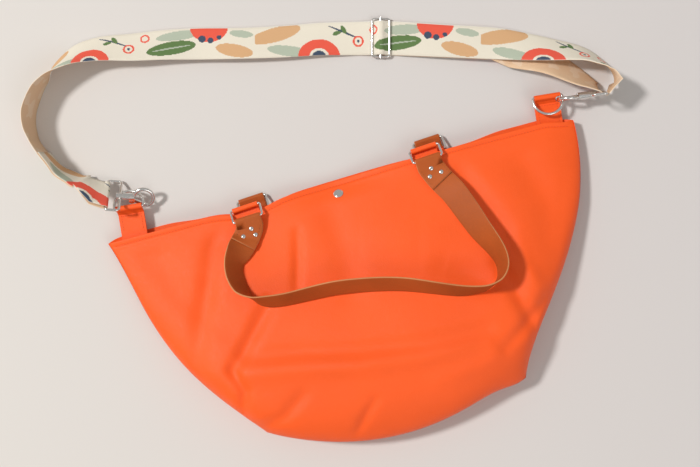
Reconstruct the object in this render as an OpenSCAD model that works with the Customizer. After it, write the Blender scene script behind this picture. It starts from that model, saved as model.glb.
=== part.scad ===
// Soft trapeze bag lying on its back, with two swinging handles and a clipped shoulder strap.
// Millimetres. X runs along the mouth, Y points out of the mouth, Z is up from the table.

/* [Body] */
// Half width of the mouth on the left
mouth_left = 273; // [220:1:320]
// Half width of the mouth on the right
mouth_right = 285; // [230:1:330]
// Half width of the base on the left
base_left = 148; // [110:1:190]
// Half width of the base on the right
base_right = 155; // [115:1:195]
// Depth of the bag at its bottom corners
side_depth = 260; // [220:1:300]
// How far the middle of the base stands out past the corners
base_belly = 41; // [20:1:60]
// How far the sides bow outwards
side_bow = 28; // [10:1:40]
// Height of the lying bag at its fullest
body_h = 60; // [48:1:72]
// Height of the mouth in front of the tabs
mouth_h = 21; // [19:0.5:26]
// Height of the closed middle of the mouth
snap_h = 11.4; // [11:0.1:14]
// Thickness of the shell leather
shell_t = 1.5; // [1.2:0.1:2]
// Thickness of the facing inside the mouth
facing_t = 1; // [0.8:0.1:1.4]
// Hollow under the bag for the back handle
pocket_h = 5.4; // [5.2:0.1:7]

// How far the right bottom corner hangs past the base line
corner_drop = 14; // [0:1:20]

/* [Handles] */
// Distance of each handle tab from the middle
tab_x = 108.25; // [95:1:120]
// Width of handles and handle tabs
handle_w = 30; // [26:1:34]
// Thickness of the front handle leather
handle_t = 2.2; // [1.8:0.1:2.6]
// Thickness of the back handle leather
back_t = 1.8; // [1.5:0.1:2]
// Thickness of the tab leather
tab_t = 1.5; // [1.2:0.1:1.8]
// Wire radius of the handle rings
ring_r = 1.4; // [1.2:0.1:1.7]
// Distance between the two long bars of a handle ring
ring_d = 17; // [15:0.5:20]
// How far the back handle sits to the right of the front one
back_shift = 9; // [0:1:14]
// Reach of the back handle under the bag
back_reach = 150; // [120:1:165]

/* [Strap] */
// Webbing width
strap_w = 40; // [36:1:42]
// Webbing thickness
strap_t = 1.3; // [1:0.1:1.6]

/* [Hardware] */
// Width of the side tabs
side_tab_w = 30; // [26:1:32]
// Wire radius of the D-rings
dee_r = 1.7; // [1.4:0.1:1.9]
// Half width of a D-ring between wire centres
dee_w = 17; // [16.5:0.1:17.5]
// Wire radius of the hook jaws
jaw_r = 2.2; // [1.9:0.1:2.3]
// Diameter of the snap cap
cap_d = 11.5; // [10:0.5:13]

/* [Hidden] */
$fn = 40;
gap = 0.1;
face_d = shell_t + gap;
in_d = face_d + facing_t;
rest_y = side_depth * 0.923;
kx = (mouth_left + mouth_right) / 558;
ky = (side_depth + base_belly) / 301;
s_cols = [for (k = [-14:14]) (1 + sin(90 * k / 14)) / 2];
t_rows = [0, 0.02, 0.045, 0.07, 0.095, 0.14, 0.2, 0.27, 0.34, 0.41, 0.48, 0.55, 0.62,
    0.69, 0.76, 0.82, 0.87, 0.91, 0.945, 0.97, 0.985, 0.996, 1];
mouth_rows = [0, 0.02, 0.045, 0.07, 0.095];

// Small helpers
function bump(v, c, w) = exp(-pow((v - c) / w, 2));
function ease(k) = let (c = max(0, min(1, k))) c * c * (3 - 2 * c);
function unit(v) = v / norm(v);
function flat(v) = [v[0], v[1], 0];

// Side outlines, inset by d
function left_x(t, d) = d - mouth_left - (base_left - mouth_left) * t
    - side_bow * sin(180 * pow(t, 1.3));
function right_x(t, d) = mouth_right + (base_right - mouth_right) * t
    + side_bow * 1.09 * sin(180 * pow(t, 0.9)) - d;
function at_x(s, t, d) = left_x(t, d) + s * (right_x(t, d) - left_x(t, d));

// Line of the mouth, then what the front and back edges add to it
function mouth_line(x) = 4.5 * x / sqrt(x * x + 14400)
    - 5 * ease((x - mouth_right + 37) / 30);
function front_edge(x) = mouth_line(x) - 8.6 * bump(x, -tab_x + 4, 30);
function back_edge(x) = let (u = abs(x) / mouth_left) mouth_line(x)
    + (1.7 + 3.5 * bump(abs(x), 205, 38)) * max(0, 1 - pow(u, 8))
    - 11 * bump(x, back_shift - tab_x, 30) - 2 * bump(x, back_shift + tab_x, 30);
function base_y(s, t, d) = -t * (side_depth + base_belly * 4 * s * (1 - s) - d)
    - corner_drop * bump(s, 1, 0.1) * pow(t, 14);

// Height of the side seam, and of the middle of the front
function seam(t) = lookup(t, [[0, 14], [0.35, 18], [0.7, 13], [0.87, 11], [0.95, 17], [1, 26]])
    * body_h / 60;
function crown(t) = lookup(t, [[0, mouth_h], [0.1, mouth_h + 4.5], [0.2, body_h * 0.55],
    [0.4, body_h * 0.73], [0.66, body_h], [0.86, body_h], [1, body_h * 0.93]]);

function front_z(s, t, d, back) = let (
        u = abs(2 * s - 1),
        roll = sqrt(max(0, 1 - pow(u, 5 + 7 * pow(t, 4)))),
        end = sqrt(max(0, 1 - pow(t, 16))),
        dip = (mouth_h - snap_h) * bump(at_x(s, t, 0), 0, 52) * (1 - ease(back / 28)))
    seam(t) + (crown(t) - d - seam(t)) * roll * end - dip;
function front_pt(s, t, d) = let (
        y = front_edge(at_x(s, 0, d)) * pow(1 - t, 2) + base_y(s, t, d),
        back = front_edge(at_x(s, 0, d)) - y)
    [at_x(s, t, d), y, front_z(s, t, d, back) + gap / 2];

function pocket(x, y) = pocket_h * ease((167 * kx - abs(x)) / 34) * ease((y + 197 * ky) / 34);
function back_pt(s, t, d) = let (
        x = at_x(s, t, d),
        y = back_edge(at_x(s, 0, d)) * pow(1 - t, 2) + base_y(s, t, d),
        u = abs(2 * s - 1),
        low = min(1, 1.08 * sqrt(max(0, 1 - pow(u, 8))) * sqrt(max(0, 1 - pow(t, 24)))))
    [x, y, seam(t) * (1 - low) + (pocket(x, y) + d) * low - (low == 0 ? gap / 2 : 0)];

// Height of the front at a plan point, found in a few steps
function find_st(x, y, s, t, n) = n == 0 ? [s, t] : let (
        t2 = max(0, min(1, (front_edge(at_x(s, 0, 0)) * pow(1 - t, 2) - y)
            / (side_depth + base_belly * 4 * s * (1 - s)))),
        s2 = max(0, min(1, (x - left_x(t2, 0)) / (right_x(t2, 0) - left_x(t2, 0)))))
    find_st(x, y, s2, t2, n - 1);
function on_front(p) = let (st = find_st(p[0], p[1], 0.5, -p[1] / 300, 9))
    front_pt(st[0], st[1], 0)[2];

// A closed solid between two matching grids of points
module skin(a, b) {
    r = len(a);
    c = len(a[0]);
    n = r * c;
    pts = concat([for (row = a) for (p = row) p], [for (row = b) for (p = row) p]);
    quads = [for (i = [0:r - 2]) for (j = [0:c - 2])
        [i * c + j, i * c + j + 1, (i + 1) * c + j + 1, (i + 1) * c + j]];
    rim = concat([for (j = [0:c - 2]) [j, j + 1]],
        [for (i = [0:r - 2]) [i * c + c - 1, (i + 1) * c + c - 1]],
        [for (j = [c - 1:-1:1]) [(r - 1) * c + j, (r - 1) * c + j - 1]],
        [for (i = [r - 1:-1:1]) [i * c, (i - 1) * c]]);
    faces = concat(
        [for (q = quads) [q[0], q[1], q[2]]], [for (q = quads) [q[0], q[2], q[3]]],
        [for (q = quads) [q[2] + n, q[1] + n, q[0] + n]],
        [for (q = quads) [q[3] + n, q[2] + n, q[0] + n]],
        [for (e = rim) [e[1], e[0], e[0] + n]], [for (e = rim) [e[1], e[0] + n, e[1] + n]]);
    polyhedron(points = pts, faces = faces, convexity = 6);
}

// A strip with a rectangular section: each station is [bottom centre, width, normal, thickness]
module strip(st, w) {
    n = len(st);
    pts = [for (q = st) each [q[0] - q[1] * w / 2, q[0] + q[1] * w / 2,
        q[0] + q[1] * w / 2 + q[2] * q[3], q[0] - q[1] * w / 2 + q[2] * q[3]]];
    sides = [for (i = [0:n - 2]) for (j = [0:3]) let (k = (j + 1) % 4) each [
        [4 * i + j, 4 * i + k, 4 * i + 4 + k], [4 * i + j, 4 * i + 4 + k, 4 * i + 4 + j]]];
    faces = concat(sides, [[0, 2, 1], [0, 3, 2]],
        [[4 * n - 4, 4 * n - 3, 4 * n - 2], [4 * n - 4, 4 * n - 2, 4 * n - 1]]);
    polyhedron(points = pts, faces = faces, convexity = 8);
}

// Smooth curve through points of any length
function curve(p, i, k) = let (a = p[max(0, i - 1)], b = p[i], c = p[i + 1],
        d = p[min(len(p) - 1, i + 2)])
    0.5 * ((2 * b) + (c - a) * k + (2 * a - 5 * b + 4 * c - d) * k * k
    + (3 * b - a - 3 * c + d) * k * k * k);
function smooth(p, m) = concat([for (i = [0:len(p) - 2]) for (j = [0:m - 1]) curve(p, i, j / m)],
    [p[len(p) - 1]]);

// Put children in a frame with origin o, local x along ax and local y along ay
module frame(o, ax, ay) {
    az = cross(ax, ay);
    multmatrix([[ax[0], ay[0], az[0], o[0]], [ax[1], ay[1], az[1], o[1]],
        [ax[2], ay[2], az[2], o[2]], [0, 0, 0, 1]])
        children();
}
module place() {
    translate([0, rest_y, 0]) children();
}

// Hinge lines of the handle rings
line_a = 3.83;
hinge = [cos(line_a), sin(line_a), 0];
inward = [sin(line_a), -cos(line_a), 0];
bore = ring_r + 0.08;
front_a = [0, 3.75, mouth_h];
front_tilt = 35;
front_b = front_a + ring_d * (cos(front_tilt) * inward + [0, 0, sin(front_tilt)]);
back_a = [back_shift, -3.25 + back_shift * tan(line_a), pocket_h + in_d + 0.3 + bore + tab_t];
back_b0 = 0.6 + back_t + bore;
back_tilt = asin((back_a[2] - back_b0) / ring_d);
back_b = back_a - ring_d * cos(back_tilt) * inward - [0, 0, back_a[2] - back_b0];
reach_x = tab_x / cos(line_a);

module front_panel() {
    color("coral") place() difference() {
        skin([for (t = t_rows) [for (s = s_cols) front_pt(s, t, 0)]],
            [for (t = t_rows) [for (s = s_cols) front_pt(s, t, shell_t)]]);
        snap_seat();
    }
}
module front_facing() {
    color("brown") place() difference() {
        skin([for (t = mouth_rows) [for (s = s_cols) front_pt(s, t, face_d)]],
            [for (t = mouth_rows) [for (s = s_cols) front_pt(s, t, in_d)]]);
        snap_seat();
    }
}
module back_panel() {
    color("orangered") place() difference() {
        skin([for (t = t_rows) [for (s = s_cols) back_pt(s, t, shell_t)]],
            [for (t = t_rows) [for (s = s_cols) back_pt(s, t, 0)]]);
        translate([snap_p[0], snap_p[1], -1]) cylinder(r = 2.05, h = 20);
    }
}
module back_facing() {
    color("brown") place() difference() {
        skin([for (t = mouth_rows) [for (s = s_cols) back_pt(s, t, in_d)]],
            [for (t = mouth_rows) [for (s = s_cols) back_pt(s, t, face_d)]]);
        translate([snap_p[0], snap_p[1], -1]) cylinder(r = 2.05, h = 20);
    }
}

// Snap on the middle of the mouth, open: the front half tips with the hem
snap_p = [0, -15];
snap_z = on_front(snap_p);
snap_k = (on_front([0, -19]) - on_front([0, -11])) / -8;
snap_tip = atan(snap_k);
snap_in = (in_d + 0.15) * cos(snap_tip);
module snap_frame() {
    translate([snap_p[0], snap_p[1], snap_z]) rotate([snap_tip, 0, 0]) children();
}
module snap_seat() {
    snap_frame() {
        translate([0, 0, -9]) cylinder(r = 2.05, h = 20);
        translate([0, 0, -0.15]) cylinder(d = cap_d + 0.4, h = 5);
        translate([0, 0, -snap_in - 5]) cylinder(r = 5.2, h = 5);
    }
}
module snap_cap() {
    color("silver") place() snap_frame() {
        translate([0, 0, -0.1]) cylinder(d = cap_d, h = 0.9);
        translate([0, 0, 0.8]) cylinder(d1 = cap_d, d2 = cap_d - 2.4, h = 0.8);
        translate([0, 0, -snap_in - 1.2]) cylinder(r = 1.9, h = snap_in + 1.5);
    }
}
module snap_socket() {
    color("silver") place() snap_frame() difference() {
        translate([0, 0, -snap_in - 2.3]) cylinder(r = 5, h = 2.25);
        translate([0, 0, -snap_in - 3]) cylinder(r = 2.6, h = 1.6);
        translate([0, 0, -snap_in - 3]) cylinder(r = 1.95, h = 4);
    }
}
stud_z = pocket_h + in_d;
module snap_stud() {
    color("silver") place() translate([snap_p[0], snap_p[1], 0]) difference() {
        union() {
            translate([0, 0, stud_z + 0.3]) cylinder(r = 5, h = 0.9);
            translate([0, 0, stud_z + 1.2]) cylinder(r = 2.5, h = 1.7);
        }
        cylinder(r = 1.95, h = stud_z + 1.8);
    }
}
module snap_back_cap() {
    color("silver") place() translate([snap_p[0], snap_p[1], 0]) {
        translate([0, 0, pocket_h - 1.3]) cylinder(d = cap_d - 1.5, h = 1.1);
        translate([0, 0, pocket_h - 0.3]) cylinder(r = 1.9, h = in_d + 1.9);
    }
}

// Handle rings: a rectangle of wire whose long bars are the two hinge lines
module wire_ring() {
    w = handle_w / 2 + 2.4;
    q = 2.1;
    for (x = [0, ring_d]) translate([x, -w + q, 0]) rotate([-90, 0, 0])
        cylinder(r = ring_r, h = 2 * (w - q));
    for (y = [-w, w]) translate([q, y, 0]) rotate([0, 90, 0])
        cylinder(r = ring_r, h = ring_d - 2 * q);
    for (c = [[q, w - q, 90], [q, q - w, 180], [ring_d - q, q - w, 270], [ring_d - q, w - q, 0]])
        translate([c[0], c[1], 0]) rotate([0, 0, c[2]])
            rotate_extrude(angle = 90) translate([q, 0]) circle(r = ring_r);
}
module ring_at(o, side, dir) {
    frame(o + side * reach_x * hinge, dir, hinge) wire_ring();
}
front_dir = cos(front_tilt) * inward + [0, 0, sin(front_tilt)];
back_dir = -cos(back_tilt) * inward - [0, 0, sin(back_tilt)];
module front_left_ring() {
    color("silver") place() ring_at(front_a, -1, front_dir);
}
module front_right_ring() {
    color("silver") place() ring_at(front_a, 1, front_dir);
}
module back_left_ring() {
    color("silver") place() ring_at(back_a, -1, back_dir);
}
module back_right_ring() {
    color("silver") place() ring_at(back_a, 1, back_dir);
}

// Handle tabs: a leather loop round the upper bar and a doubled tail inside the mouth
module loop_at(o, side, w) {
    frame(o + side * reach_x * hinge, inward, [0, 0, 1])
        translate([0, 0, -w / 2]) linear_extrude(height = w) children();
}
tab_r = bore + tab_t;
drop = in_d + 0.9;
module front_tab(side) {
    color("orangered") place() difference() {
        loop_at(front_a, side, handle_w) circle(r = tab_r);
        loop_at(front_a, side, handle_w + 2) circle(r = bore);
    }
    color("orangered") place() loop_at(front_a, side, handle_w - 0.2)
        polygon([[-1, -tab_r + 0.2], [tab_r - 0.1, -0.6], [tab_r + 0.35, -drop],
            [24, 1.6 - drop], [24, 1.6 - drop - 2 * tab_t],
            [tab_r + 0.35, -drop - 2 * tab_t]]);
}
module front_left_tab() {
    front_tab(-1);
}
module front_right_tab() {
    front_tab(1);
}
module back_tab(side) {
    color("orangered") place() loop_at(back_a, side, handle_w) difference() {
        union() {
            circle(r = tab_r);
            translate([0, -tab_r]) square([26, 2 * tab_t]);
        }
        circle(r = bore);
    }
}
module back_left_tab() {
    back_tab(-1);
}
module back_right_tab() {
    back_tab(1);
}

// Front handle: plan centre and lean of the strip, from the left ring round to the right one
grip = [[-115, -39, 4], [-124.5, -49, 22], [-132.5, -58.5, 45], [-136.3, -70, 55], [-136, -82, 60],
    [-132.5, -94.5, 70], [-124, -106, 95], [-113, -112.3, 113], [-98.5, -115.8, 119],
    [-80.5, -117.3, 120], [-55, -117.6, 122], [-29, -118.7, 123], [-2, -122.6, 123],
    [25, -128.2, 123], [50, -135.4, 121], [76, -145.6, 118], [101.5, -155.2, 115],
    [122, -159.8, 109], [137, -159.8, 102], [150, -154.4, 91], [157, -144, 77],
    [158.3, -131, 65], [154, -115.5, 52], [145, -94.8, 37], [136, -69.4, 25], [127, -46, 17],
    [117.5, -29, 6]];
loop_r = bore + handle_t;
tail_x = 9;
function grip_end(side) = flat(front_b) + side * reach_x * hinge + tail_x * inward;
grip_pts = concat([[grip_end(-1)[0], grip_end(-1)[1], 0]],
    [for (g = grip) [g[0] * kx, g[1] * ky, g[2]]], [[grip_end(1)[0], grip_end(1)[1], 0]]);
grip_s = smooth(grip_pts, 2);
grip_n = len(grip_s);
function grip_out(i) = let (a = grip_s[max(0, i - 1)], b = grip_s[min(grip_n - 1, i + 1)],
        t = unit([b[0] - a[0], b[1] - a[1], 0]), k = min(1, min(i, grip_n - 1 - i) / 5),
        o = [t[1], -t[0], 0], h = i < grip_n / 2 ? -hinge : hinge)
    unit(o * k + h * (1 - k));
function grip_base(i) = let (g = grip_s[i], w = grip_out(i) * cos(g[2]) * handle_w / 2,
        p = [g[0], g[1], 0], rise = sin(g[2]) * handle_w / 2,
        top = max(on_front(p - w) + rise, on_front(p) , on_front(p + w) - rise)
            + 0.9 + (g[2] > 90 ? -cos(g[2]) * handle_t : 0))
    [g[0], g[1], max(top, front_b[2] - loop_r)];
grip_mid = [for (i = [0:grip_n - 1]) grip_base(i)];
function grip_st(i, t) = let (r = grip_s[i][2], o = grip_out(i), w = cos(r) * o + [0, 0, sin(r)],
        d = unit(grip_mid[min(grip_n - 1, i + 1)] - grip_mid[max(0, i - 1)]),
        n0 = cross(w, d), n = unit(n0) * (i < grip_n ? 1 : 1))
    [grip_mid[i], unit(w), n, t];
lap_l = 3;
lap_r = 2;
module grip_loop(side) {
    loop_at(front_b, side, handle_w + 0.2) difference() {
        union() {
            circle(r = loop_r);
            polygon([[0, loop_r], [tail_x + 0.8, 2 * handle_t - loop_r + 0.2],
                [tail_x + 0.8, -loop_r - 0.15], [0, -loop_r + 0.1]]);
        }
        circle(r = bore);
    }
}
function grip_step(i, j) = let (q = grip_st(i, handle_t))
    [q[0] + unit(grip_mid[j] - grip_mid[i]) * 0.3, q[1], q[2], q[3]];
grip_far = grip_n - 1 - lap_r;
grip_path = concat([for (i = [0:lap_l]) grip_st(i, 2 * handle_t)], [grip_step(lap_l, lap_l + 1)],
    [for (i = [lap_l + 1:grip_far - 1]) grip_st(i, handle_t)], [grip_step(grip_far, grip_far - 1)],
    [for (i = [grip_far:grip_n - 1]) grip_st(i, 2 * handle_t)]);
module rivet_set(side) {
    i0 = side < 0 ? 0 : grip_n - 1;
    far = side < 0 ? 5 : 3.5;
    for (q = [[0, 0, 2.5], [1, -7, far], [1, 7, far]])
        rivet_at(grip_st(i0 - side * q[0], handle_t), q[1], -side * q[2]) children();
}
module rivet_at(st, off, on) {
    ahead = cross(st[2], st[1]);
    frame(st[0] + st[1] * off + ahead * on, st[1], ahead) rotate([0, 0, 37]) children();
}
module front_handle() {
    color("sienna") place() difference() {
        union() {
            strip(grip_path, handle_w);
            grip_loop(-1);
            grip_loop(1);
        }
        for (side = [-1, 1]) rivet_set(side) {
            translate([0, 0, -3]) cylinder(r = 1.35, h = 3 + 2 * handle_t + 3);
            translate([0, 0, 2 * handle_t + 0.05]) cylinder(r = 3, h = 3);
            translate([0, 0, -3.05]) cylinder(r = 2.6, h = 3);
        }
    }
}
module rivet(t) {
    translate([0, 0, -0.3]) cylinder(r = 1.3, h = t + 0.5);
    translate([0, 0, t + 0.1]) cylinder(r1 = 2.7, r2 = 1.9, h = 0.8);
    translate([0, 0, -0.5]) cylinder(r = 2.4, h = 0.4);
}
module front_left_rivets() {
    color("silver") place() rivet_set(-1) rivet(2 * handle_t);
}
module front_right_rivets() {
    color("silver") place() rivet_set(1) rivet(2 * handle_t);
}

// Back handle: folded flat under the bag
back_r = bore + back_t;
module back_shape() {
    q = 40;
    w = handle_w / 2;
    for (m = [-1, 1]) {
        translate([m * reach_x - w, -back_reach + q]) square([2 * w, back_reach - q]);
        translate([m * (reach_x - q), -back_reach + q]) difference() {
            circle(r = q + w, $fn = 72);
            circle(r = q - w, $fn = 72);
            translate([m > 0 ? -99 : 0, -99]) square([99, 198]);
            translate([-99, 0]) square([198, 99]);
        }
    }
    translate([q - reach_x, -back_reach - w]) square([2 * (reach_x - q), 2 * w]);
}
function back_rivet(q) = q[0] < 0 ? [q[0] * reach_x, q[1]] : [q[0] * reach_x, q[1]];
back_spots = [[0, -12.5], [-7, -22], [7, -22]];
module back_frame() {
    frame([back_b[0], back_b[1], 0], hinge, -inward) children();
}
module back_handle() {
    color("sienna") place() difference() {
        union() {
            back_frame() translate([0, 0, 0.6]) {
                linear_extrude(height = back_t) back_shape();
                for (m = [-1, 1]) translate([m * reach_x - handle_w / 2 + 0.15, -32, back_t * 0.6])
                    cube([handle_w - 0.3, 28, back_t * 1.4]);
            }
            for (m = [-1, 1]) loop_at(back_b, m, handle_w + 0.2) union() {
                circle(r = back_r);
                polygon([[0, back_r], [7, 2 * back_t - back_r + 0.1], [7, 0.1 - back_r],
                    [0, 0.1 - back_r]]);
            }
        }
        for (m = [-1, 1]) loop_at(back_b, m, handle_w + 2) circle(r = bore);
        back_frame() for (m = [-1, 1]) for (q = back_spots)
            translate([m * reach_x + q[0], q[1], -1]) cylinder(r = 1.35, h = 9);
    }
}
module back_rivet_set(m) {
    color("silver") place() back_frame() for (q = back_spots)
        translate([m * reach_x + q[0], q[1], 0.6]) {
            translate([0, 0, -0.3]) cylinder(r = 1.3, h = 2 * back_t + 0.5);
            translate([0, 0, 2 * back_t + 0.05]) cylinder(r = 2.6, h = 0.4);
            translate([0, 0, -0.45]) cylinder(r = 2.6, h = 0.4);
        }
}
module back_left_rivets() {
    back_rivet_set(-1);
}
module back_right_rivets() {
    back_rivet_set(1);
}

// Side tabs and D-rings
module dee_ring() {
    q = 2;
    w = dee_w;
    translate([0, q - w, 0]) rotate([-90, 0, 0]) cylinder(r = dee_r, h = 2 * (w - q));
    for (m = [-1, 1]) {
        translate([q, m * (w - q), 0]) rotate([0, 0, m > 0 ? 90 : 180])
            rotate_extrude(angle = 90) translate([q, 0]) circle(r = dee_r);
        translate([q, m * w, 0]) rotate([0, 90, 0]) cylinder(r = dee_r, h = 4 - q);
    }
    translate([4, 0, 0]) rotate([0, 0, -90]) rotate_extrude(angle = 180, $fn = 72)
        translate([w, 0]) circle(r = dee_r);
}
dee_bore = dee_r + 0.08;
left_dee = [-238.3, 30.5, 19];
left_dee_az = -5.5;
left_dee_tilt = -23.2;
right_dee = [262, 32.5, 18];
right_dee_az = -5.4;
right_dee_tilt = 12.8;
function around(a) = [cos(a), sin(a), 0];
module side_tab(o, az, drop_y, run) {
    ax = around(az);
    place() frame(o, [ax[1], -ax[0], 0], [0, 0, 1]) {
        difference() {
            translate([0, 0, -side_tab_w / 2]) cylinder(r = dee_bore + tab_t, h = side_tab_w);
            translate([0, 0, -30]) cylinder(r = dee_bore, h = 60);
        }
        translate([0, 0, 0.1 - side_tab_w / 2]) linear_extrude(height = side_tab_w - 0.2)
            polygon([[2.1, -0.5], [3, -1], [7, tab_t + 0.6 - drop_y], [run, tab_t - drop_y],
                [run + 18, tab_t - drop_y], [run + 18, -tab_t - drop_y], [run, -tab_t - drop_y],
                [7, 0.6 - tab_t - drop_y], [0.8, 0.2 - dee_bore - tab_t], [0.8, -dee_bore - 0.3]]);
    }
}
module left_side_tab() {
    color("orangered") side_tab(left_dee, left_dee_az, 8.65, 29);
}
module right_side_tab() {
    color("orangered") difference() {
        side_tab(right_dee, right_dee_az, 7.85, 31);
        at_right_hook() rotate([0, 0, -70]) rotate_extrude(angle = 250) translate([jaw_c, 0])
            circle(r = jaw_r + 1.5);
    }
}
function tipped(v, t) = [v[0] * cos(t), v[1] * cos(t), sin(t)];
module left_d_ring() {
    ax = around(left_dee_az);
    color("silver") place() frame(left_dee, tipped([-ax[1], ax[0], 0], left_dee_tilt), ax) dee_ring();
}
module right_d_ring() {
    ax = around(right_dee_az);
    color("silver") place() frame(right_dee, tipped([ax[1], -ax[0], 0], right_dee_tilt), ax) dee_ring();
}

// Spring hooks. Local x runs from the strap to the nose, the jaw centre is the origin.
jaw_c = 11.2;
gate_p = [-13, -4];
gate_q = [4.5, -10.3];
gate_a = atan2(gate_q[1] - gate_p[1], gate_q[0] - gate_p[0]);
gate_l = norm(gate_q - gate_p);
pin_r = 1;
post_r = 2;
module hook_body() {
    difference() {
        union() {
            rotate([0, 0, -70]) rotate_extrude(angle = 250, $fn = 72) translate([jaw_c, 0])
                circle(r = jaw_r);
            translate([-24, 0, 0]) rotate([0, 90, 0]) cylinder(r = 4.2, h = 13);
            translate([-11, 0, 0]) rotate([0, 90, 0]) cylinder(r1 = 4.2, r2 = 2.3, h = 1.6);
            translate([gate_p[0], gate_p[1], -3.8]) cylinder(r = 3.4, h = 7.6);
            translate([gate_p[0] - 3.4, gate_p[1], -3.8]) cube([6.8, 4, 7.6]);
            translate([-29, 0, 0]) rotate([0, 90, 0]) cylinder(r = post_r, h = 6);
            translate([-31.2, 0, 0]) rotate([0, 90, 0]) cylinder(r = 3.4, h = 2.4);
        }
        gate_room();
        translate([gate_p[0], gate_p[1], -5]) cylinder(r = pin_r + 0.02, h = 10);
    }
}
module gate_room() {
    translate([gate_p[0], gate_p[1], -1.8]) {
        cylinder(r = 3.9, h = 3.6);
        rotate([0, 0, gate_a]) translate([0, -7, 0]) cube([gate_l + 0.3, 8.7, 3.6]);
        rotate([0, 0, gate_a]) translate([3, -7, -3]) cube([gate_l - 2.7, 8.7, 9.6]);
        rotate([0, 0, gate_a + 22]) translate([0, -3, 0]) cube([8, 4.85, 3.6]);
        for (turn = [2:2:18]) rotate([0, 0, gate_a + turn]) translate([8, -1.9, -3])
            cube([gate_l - 7.7, 3.6, 9.6]);
    }
}
module hook_gate() {
    translate([gate_p[0], gate_p[1], -1.6]) difference() {
        union() {
            cylinder(r = 2.4, h = 3.2);
            rotate([0, 0, gate_a]) translate([0, -1.6, 0.1]) cube([gate_l, 3.2, 3]);
        }
        translate([0, 0, -1]) cylinder(r = pin_r + 0.06, h = 6);
    }
}
module hook_pin() {
    translate([gate_p[0], gate_p[1], -3.8]) cylinder(r = pin_r, h = 7.6);
}
bail_x = -42;
bail_r = 1.6;
bail_w = strap_w / 2 + 3.4;
module hook_bail() {
    q = 3;
    far = -26.5;
    difference() {
        union() {
            for (x = [bail_x, far]) translate([x, q - bail_w, 0]) rotate([-90, 0, 0])
                cylinder(r = bail_r, h = 2 * (bail_w - q));
            for (m = [-1, 1]) {
                translate([bail_x + q, m * bail_w, 0]) rotate([0, 90, 0])
                    cylinder(r = bail_r, h = far - bail_x - 2 * q);
                translate([bail_x + q, m * (bail_w - q), 0]) rotate([0, 0, m > 0 ? 90 : 180])
                    rotate_extrude(angle = 90) translate([q, 0]) circle(r = bail_r);
                translate([far - q, m * (bail_w - q), 0]) rotate([0, 0, m > 0 ? 0 : 270])
                    rotate_extrude(angle = 90) translate([q, 0]) circle(r = bail_r);
            }
            translate([far - 1.8, 0, 0]) rotate([0, 90, 0]) cylinder(r = 3.8, h = 3.6);
        }
        translate([far - 5, 0, 0]) rotate([0, 90, 0]) cylinder(r = post_r + 0.05, h = 10);
    }
}

// Hook frames: jaw centre, direction from strap to nose, and the side away from the gate
function aim(az, el) = [cos(el) * cos(az), cos(el) * sin(az), sin(el)];
function aside(x, roll) = let (s = unit(cross([0, 0, 1], x))) s * cos(roll) + cross(x, s) * sin(roll);
left_o = [-219.61, 37.79, 14.68];
left_x_dir = aim(-18, -10.8);
left_y_dir = aside(left_x_dir, 35.1);
left_bar = [-0.37, -0.61, 0.7];
right_o = [284.99, 25.23, 19.94];
right_x_dir = aim(172, -10.8);
right_y_dir = aside(right_x_dir, 80.7);
right_bar = [0, -0.15, 0.99];
function square_to(v, x) = unit(v - (v * x) * x);
module at_left_hook() {
    place() frame(left_o, left_x_dir, left_y_dir) children();
}
module at_right_hook() {
    place() frame(right_o, right_x_dir, right_y_dir) children();
}
module left_hook_body() {
    color("silver") at_left_hook() hook_body();
}
module left_hook_gate() {
    color("silver") at_left_hook() hook_gate();
}
module left_hook_pin() {
    color("silver") at_left_hook() hook_pin();
}
module left_bail() {
    color("silver") place() frame(left_o, left_x_dir, square_to(left_bar, left_x_dir)) hook_bail();
}
module right_hook_body() {
    color("silver") at_right_hook() hook_body();
}
module right_hook_gate() {
    color("silver") at_right_hook() hook_gate();
}
module right_hook_pin() {
    color("silver") at_right_hook() hook_pin();
}
module right_bail() {
    color("silver") place() frame(right_o, right_x_dir, square_to(right_bar, right_x_dir)) hook_bail();
}

// Strap: plan points of the middle line, the plan lean of the high edge, and the lift of the low edge
run = [[-281.6, 72, -2, -17, 6.5], [-290.3, 77.6, 4, -17, 4.5], [-304.8, 91.5, 5, -18, 2],
    [-314.5, 109.4, 3, -14, 0.6], [-322.9, 129.5, 2, -11.5, 0.6], [-325.2, 145.6, -3, -9, 0.6],
    [-323.7, 159.4, -5.4, -4, 0.6], [-318.7, 171.7, -5.8, -1, 0.6], [-305.1, 189.6, -4, -1.2, 0.6],
    [-293.8, 198.6, 2, -2, 0.6], [-282.1, 207.2, 12, -10, 0.6], [-264.7, 214.7, 20, -17, 0.6],
    [-247.5, 218.6, 15, -27, 0.6], [-222.9, 217.5, 4, -33, 0.6], [-190.1, 210.9, -2, -35.6, 0.6],
    [-152, 204.4, -7, -37, 0.6], [-112.4, 195.8, -8.5, -38, 0.6], [-66.8, 184.4, -8.5, -37.6, 0.6],
    [-21.1, 174.5, -9, -37.9, 0.6], [24.9, 166.2, -9.8, -38.3, 0.8]];
over = [[134.7, 137.2, -13, -37.7, 1.95], [168.8, 126, -15.9, -36.2, 1.95],
    [221.7, 109, -21, -33, 1.9], [253.7, 96.2, -23, -28.2, 1.2], [284.6, 83.4, -24.5, -20.5, 0.6],
    [306.9, 74, -22.6, -15.5, 0.6], [318.4, 67.4, -19.6, -11.8, 0.6], [329, 57.6, -16.1, -7.5, 1.8],
    [336.7, 48.4, -13, -4, 3.5], [340.2, 37.9, -8, -4.5, 6], [340, 28.5, -2, -6.5, 9]];
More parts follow.
